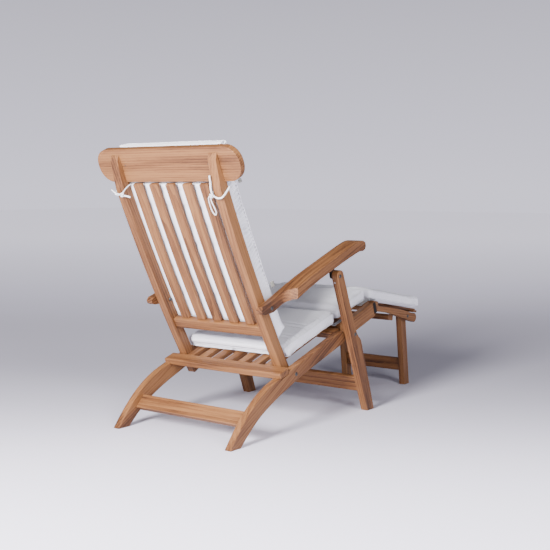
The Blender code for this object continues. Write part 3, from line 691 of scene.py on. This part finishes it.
def rise(low, high, value):
    """0 below low, 1 above high, smooth between."""
    t = min(max((value - low) / (high - low), 0.0), 1.0)
    return t * t * (3.0 - 2.0 * t)


def pucker(along, across, pitch, slant, seed):
    """Gathers along a seam: soft ridges and valleys, a little uneven. From -1 to 0."""
    wander = noise.noise(Vector((along * 11.0, across * 16.0, seed))) * 1.1
    phase = (along + slant * across) / pitch + wander
    strength = 0.65 + 0.5 * noise.noise(Vector((along * 26.0, across * 20.0, seed + 4.0)))
    return -strength * (0.5 + 0.5 * math.cos(2.0 * math.pi * phase)) ** 1.3


def crease(x, along, start, end, width):
    """A valley between two points of a face, fading out at its ends. From -1 to 0."""
    start, end, here = Vector(start), Vector(end), Vector((x, along))
    run = end - start
    share = (here - start).dot(run) / run.length_squared
    if not 0.0 < share < 1.0:
        return 0.0
    away = abs((x - start.x) * run.y - (along - start.y) * run.x) / run.length
    return -math.exp(-(away / width) ** 2) * math.sin(math.pi * share) ** 0.6


# Each section's own creases: which face (0 under, 1 outer), from, to, depth and width.
CREASES = {
    "back_cushion": [
        (0, (-0.23, 0.806), (0.20, 0.796), 0.0035, 0.011),
        (0, (-0.20, 0.728), (0.22, 0.738), 0.0035, 0.012),
        (0, (-0.24, 0.660), (0.05, 0.650), 0.0025, 0.010),
        (0, (-0.22, 0.582), (0.20, 0.590), 0.0030, 0.012),
        (0, (-0.05, 0.490), (0.24, 0.482), 0.0025, 0.010),
        (0, (-0.22, 0.372), (0.22, 0.366), 0.0030, 0.012),
        (1, (-0.24, 0.700), (0.10, 0.690), 0.0030, 0.012),
        (1, (-0.10, 0.520), (0.24, 0.530), 0.0030, 0.012),
        (1, (-0.24, 0.350), (0.24, 0.345), 0.0035, 0.013)],
    "seat_cushion_rear": [
        (1, (-0.25, 0.176), (-0.02, 0.190), 0.0030, 0.007),
        (1, (-0.25, 0.200), (-0.08, 0.208), 0.0022, 0.006),
        (1, (-0.25, 0.268), (-0.10, 0.276), 0.0022, 0.007),
        (1, (-0.25, 0.290), (-0.05, 0.306), 0.0018, 0.006),
        (1, (0.05, 0.190), (0.25, 0.180), 0.0025, 0.007)],
    "seat_cushion_front": [
        (1, (-0.25, 0.560), (-0.12, 0.570), 0.0020, 0.008),
        (1, (-0.22, 0.640), (0.10, 0.645), 0.0020, 0.008)],
    "leg_rest_cushion": [
        (1, (-0.25, 0.360), (-0.10, 0.350), 0.0020, 0.008),
        (1, (-0.20, 0.180), (0.15, 0.190), 0.0020, 0.009)],
}
# Gathers on the boxed edges: depth, spacing and slant.
BACK_GATHERS, OTHER_GATHERS = (0.0085, 0.0150, -0.12), (0.0042, 0.0100, 0.05)
# Folds across the seat's rear end: height and depth.
REAR_FOLDS = ((0.0125, 0.0080), (0.0215, 0.0070))


def sewn(slab, cover, number):
    """The cover's creases: gathers on the boxed edges, soft waves and folds on the faces."""
    round_off = cover.modifiers.new("finer", "SUBSURF")
    round_off.levels = 1
    round_off.render_levels = 1
    applied(cover)
    mesh = cover.data
    mesh.update()
    is_back = slab.node == "back_cushion"
    gather, pitch, slant = BACK_GATHERS if is_back else OTHER_GATHERS
    normals = [v.normal.copy() for v in mesh.vertices]
    for vert, normal in zip(mesh.vertices, normals):
        x = vert.co.x
        along, out = slab.local(vert.co)
        # t is 0 on the under face and 1 on the outer one; side is 1 on the long boxed edges.
        t = min(max((out - slab.low) / slab.thick, 0.0), 1.0)
        side = rise(HALF_WIDTH - 0.022, HALF_WIDTH - 0.009, abs(x))
        if is_back:
            drawn = rise(0.12, 0.45, t) * (0.12 + 0.88 * rise(0.34, 0.50, along))
        else:
            drawn = (1.0 - 0.75 * rise(0.55, 0.95, t)) * (
                0.35 + 0.65 * rise(slab.start + 0.06, slab.start + 0.16, along))
        step = side * gather * drawn * pucker(along, out, pitch, slant, number)
        rear_end = rise(-slab.start - 0.060, -slab.start - 0.035, -along) * (1.0 - side)
        front_end = rise(slab.end - 0.030, slab.end - 0.010, along) * (1.0 - side)
        step += front_end * 0.0014 * pucker(x, out, 0.017, 0.2, number + 7)
        if slab.node == "seat_cushion_rear":
            wavy = 0.0035 * noise.noise(Vector((x * 9.0, 0.0, 2.0)))
            for level, depth in REAR_FOLDS:
                step -= rear_end * depth * math.exp(-((out - level - wavy) / 0.0036) ** 2)
        near = (1.0 - side) * rise(HALF_WIDTH - 0.075, HALF_WIDTH - 0.022, abs(x))
        step += near * 0.0012 * pucker(along, abs(x), 0.021, 0.45, number + 3)
        on_face = 1.0 - rise(0.1, 0.4, t), rise(0.6, 0.9, t)
        for face, start, end, depth, width in CREASES[slab.node]:
            step += (1.0 - side) * on_face[face] * depth * crease(x, along, start, end, width)
        wave = noise.noise(Vector((x * 7.0, along * 9.0, number * 3.1)))
        wave += 0.5 * noise.noise(Vector((x * 19.0, along * 16.0, number * 5.7)))
        step += (1.0 - side) * 0.0016 * wave
        vert.co += normal * step
    mesh.update()


def seam_line(slab, cover, out):
    """The closed line of a seam round the slab, laid on the cover's surface."""
    tree = BVHTree.FromObject(cover, bpy.context.evaluated_depsgraph_get())
    corner = 0.020
    short = HALF_WIDTH - corner
    line = []
    spans = [((HALF_WIDTH, slab.start + corner), (HALF_WIDTH, slab.end - corner)),
             ((short, slab.end), (-short, slab.end)),
             ((-HALF_WIDTH, slab.end - corner), (-HALF_WIDTH, slab.start + corner)),
             ((-short, slab.start), (short, slab.start))]
    for (x0, a0), (x1, a1) in spans:
        count = max(int(math.hypot(x1 - x0, a1 - a0) / 0.006), 2)
        for i in range(count + 1):
            x = x0 + (x1 - x0) * i / count
            along = a0 + (a1 - a0) * i / count
            wanted = (slab.origin + slab.run * along + slab.up * (out + slab.bend(along))
                      + Vector((x, 0.0, 0.0)))
            hit, normal = tree.find_nearest(wanted)[:2]
            line.append(hit + normal * 0.0003)
    return line


WELT_RADIUS = 0.0015


def welt(slab, cover, out, name):
    """A thin self-welt sewn into a seam, as a mesh."""
    drawn = round_cord(name, seam_line(slab, cover, out), WELT_RADIUS, CANVAS, closed=True)
    bpy.context.view_layer.update()
    evaluated = drawn.evaluated_get(bpy.context.evaluated_depsgraph_get())
    mesh = bpy.data.meshes.new_from_object(evaluated)
    bpy.data.objects.remove(drawn, do_unlink=True)
    mesh.shade_smooth()
    made = bpy.data.objects.new(name, mesh)
    bpy.context.scene.collection.objects.link(made)
    return made


# The share of its thickness that a section keeps when the back is folded down onto the seat.
SQUEEZED = {"back_cushion": 0.12, "seat_cushion_rear": 0.15}
for number, (slab, cover) in enumerate(zip(SLABS, covers), 1):
    sewn(slab, cover, number)
    cover.data.shade_smooth()
    welts = [welt(slab, cover, slab.low + 0.001, slab.node + "_lower_welt"),
             welt(slab, cover, slab.low + slab.thick - 0.001, slab.node + "_upper_welt")]
    for piece in [cover] + welts:
        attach(piece, slab.body)
        if slab.node in SQUEEZED:
            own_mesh(piece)
    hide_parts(slab.node)


# Two small grey cloth tags are sewn into the back cushion's front seam, on the sitter's right.
GREY_CLOTH = white_cotton("grey_tag_cloth", 0.0008, (0.22, 0.215, 0.19), 0.0002)
TAGS = ((0.800, 0.011, 0.012), (0.392, 0.014, 0.022))
for number, (ahead, reach, width) in enumerate(TAGS, 1):
    slab = SLABS[0]
    shape = bmesh.new()
    rows = []
    for i in range(7):
        share = i / 6.0
        out = slab.low + slab.thick - 0.004 + slab.bend(ahead) + reach * share
        bow = 0.0022 * math.sin(math.pi * share)
        middle = slab.origin + slab.up * out - ACROSS * (0.2395 + 0.006 * share + bow)
        places = [ahead + width * (k / 4.0 - 0.5) + bow * k / 4.0 for k in range(5)]
        rows.append([shape.verts.new(middle + slab.run * place) for place in places])
    for lower, upper in zip(rows, rows[1:]):
        for k in range(4):
            shape.faces.new((lower[k], lower[k + 1], upper[k + 1], upper[k]))
    mesh = bpy.data.meshes.new("cushion_tag_%d" % number)
    shape.to_mesh(mesh)
    shape.free()
    mesh.materials.append(GREY_CLOTH)
    mesh.shade_smooth()
    tag = bpy.data.objects.new("cushion_tag_%d" % number, mesh)
    bpy.context.scene.collection.objects.link(tag)
    folded = tag.modifiers.new("two_layers", "SOLIDIFY")
    folded.thickness = 0.0016
    folded.offset = 0.0
    applied(tag)
    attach(tag, "back")
    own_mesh(tag)


# ---- floor and light ----------------------------------------------------------------------
# A pale painted floor that runs off into a cool grey. Its colour holds painted shade behind the
# chair and painted light in front of it and far off, where the floor also glows as painted light.
# One large soft light stands behind the chair and a weaker one on the sitter's right, with weak
# light from all round.
HEADING = math.radians(VIEW_HEADING - 180.0)
SIGHT = Vector((math.sin(HEADING), -math.cos(HEADING), 0.0))
# Distance beyond the chair, floor tone with painted shade and light, and a painted glow that
# stands in for light passed on from a lit sweep.
FLOOR_PAINTED_LIGHT = ((-2.0, 1.00, 1.10), (-1.4, 0.98, 0.80), (-0.9, 0.97, 0.40), (-0.4, 0.84, 0.06),
               (0.1, 0.72, 0.0), (0.8, 0.60, 0.0), (1.5, 0.72, 0.0), (2.4, 0.80, 0.05),
               (3.2, 0.90, 0.15), (4.2, 1.00, 0.27), (5.6, 1.05, 0.42), (7.4, 1.10, 0.55),
               (10.0, 1.12, 0.68), (14.0, 1.15, 0.80))


def floor_with_painted_light():
    """Pale paint with painted shade behind the chair, painted light further off, and a painted
    glow.
    """
    made = bpy.data.materials.new("floor_with_painted_light")
    made.use_nodes = True
    nodes, links = made.node_tree.nodes, made.node_tree.links
    shader = nodes["Principled BSDF"]
    place = nodes.new("ShaderNodeTexCoord")
    depth = nodes.new("ShaderNodeVectorMath")
    depth.operation = "DOT_PRODUCT"
    depth.inputs[1].default_value = SIGHT
    links.new(place.outputs["Object"], depth.inputs[0])
    share = nodes.new("ShaderNodeMapRange")
    share.inputs["From Min"].default_value = FLOOR_PAINTED_LIGHT[0][0]
    share.inputs["From Max"].default_value = FLOOR_PAINTED_LIGHT[-1][0]
    links.new(depth.outputs["Value"], share.inputs["Value"])
    reach = FLOOR_PAINTED_LIGHT[-1][0] - FLOOR_PAINTED_LIGHT[0][0]
    # The base colour carries painted shade and light, and the emission a painted glow: the floor
    # is no lamp.
    for column, socket, peak in ((1, "Base Color", 0.84), (2, "Emission Color", 1.0)):
        painted_light_ramp = nodes.new("ShaderNodeValToRGB")
        painted_light_ramp.color_ramp.interpolation = "B_SPLINE"
        stops = painted_light_ramp.color_ramp.elements
        while len(stops) < len(FLOOR_PAINTED_LIGHT):
            stops.new(0.5)
        for stop, row in zip(stops, FLOOR_PAINTED_LIGHT):
            stop.position = (row[0] - FLOOR_PAINTED_LIGHT[0][0]) / reach
            stop.color = (peak * row[column], 0.97 * peak * row[column],
                          1.13 * peak * row[column], 1.0)
        links.new(share.outputs["Result"], painted_light_ramp.inputs["Fac"])
        links.new(painted_light_ramp.outputs["Color"], shader.inputs[socket])
    shader.inputs["Emission Strength"].default_value = 1.0
    shader.inputs["Roughness"].default_value = 0.9
    shader.inputs["Specular IOR Level"].default_value = 0.1
    return made


floor_mesh = bpy.data.meshes.new("floor")
floor_shape = bmesh.new()
bmesh.ops.create_grid(floor_shape, x_segments=1, y_segments=1, size=30.0)
floor_shape.to_mesh(floor_mesh)
floor_shape.free()
floor_mesh.materials.append(floor_with_painted_light())
floor = bpy.data.objects.new("floor", floor_mesh)
floor.location = (0.0, 0.0, -0.0005)
bpy.context.scene.collection.objects.link(floor)


def soft_light(name, place, target, size, power, colour):
    """A round soft light, aimed at a point of the chair."""
    lamp = bpy.data.lights.new(name, "AREA")
    lamp.shape = "DISK"
    lamp.size = size
    lamp.energy = power
    lamp.color = colour
    made = bpy.data.objects.new(name, lamp)
    made.location = place
    made.rotation_euler = (Vector(target) - Vector(place)).to_track_quat("-Z", "Y").to_euler()
    bpy.context.scene.collection.objects.link(made)


soft_light("key", (-0.6, 4.8, 2.3), (0.0, 0.1, 0.45), 1.4, 800.0, (1.0, 0.985, 0.985))
soft_light("side", (-3.9, 2.2, 2.4), (0.0, 0.0, 0.4), 1.6, 150.0, (0.98, 0.985, 1.0))

world = bpy.data.worlds.new("studio")
world.use_nodes = True
bpy.context.scene.world = world
nodes, links = world.node_tree.nodes, world.node_tree.links
sky = nodes["Background"]
direction = nodes.new("ShaderNodeTexCoord")
height = nodes.new("ShaderNodeSeparateXYZ")
links.new(direction.outputs["Generated"], height.inputs["Vector"])
ramp = nodes.new("ShaderNodeValToRGB")
for stop, (level, tone) in zip(ramp.color_ramp.elements, ((0.0, 1.02), (0.20, 0.66))):
    stop.position = level
    stop.color = (tone, 0.97 * tone, 1.15 * tone, 1.0)
overhead = ramp.color_ramp.elements.new(0.42)
overhead.color = (0.13, 0.128, 0.142, 1.0)
links.new(height.outputs["Z"], ramp.inputs["Fac"])
links.new(ramp.outputs["Color"], sky.inputs["Color"])
sky.inputs["Strength"].default_value = 1.0
